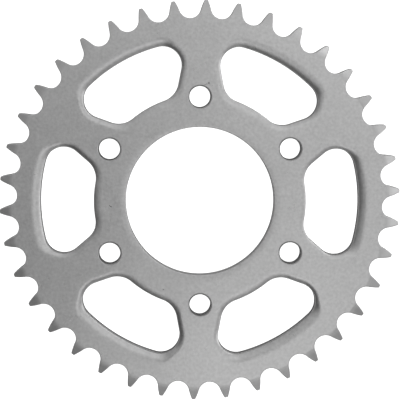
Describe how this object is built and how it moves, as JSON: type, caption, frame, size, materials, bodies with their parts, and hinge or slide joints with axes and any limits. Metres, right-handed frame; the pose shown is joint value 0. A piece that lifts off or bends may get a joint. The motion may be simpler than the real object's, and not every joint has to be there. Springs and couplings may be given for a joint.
{
  "type": "rear sprocket",
  "caption": "Flat toothed chain wheel with a central bore, a ring of bolt holes and rounded windows between tapered spokes; it drives a motorcycle's rear wheel.",
  "frame": {"origin": "on the bore's axis, in the plane of the face that sits against the wheel hub", "axes": "+Z along the bore's axis from the hub face to the outer face; +X midway between two bolt holes, and a bolt hole lies on +Y"},
  "size_m": [0.1594, 0.1596, 0.007],
  "materials": {
    "plate_steel": "bead-blasted steel, satin grey, with turned and worn tooth sides"
  },
  "bodies": {
    "root": {"sprocket_plate": "plate_steel"}
  },
  "joints": []
}
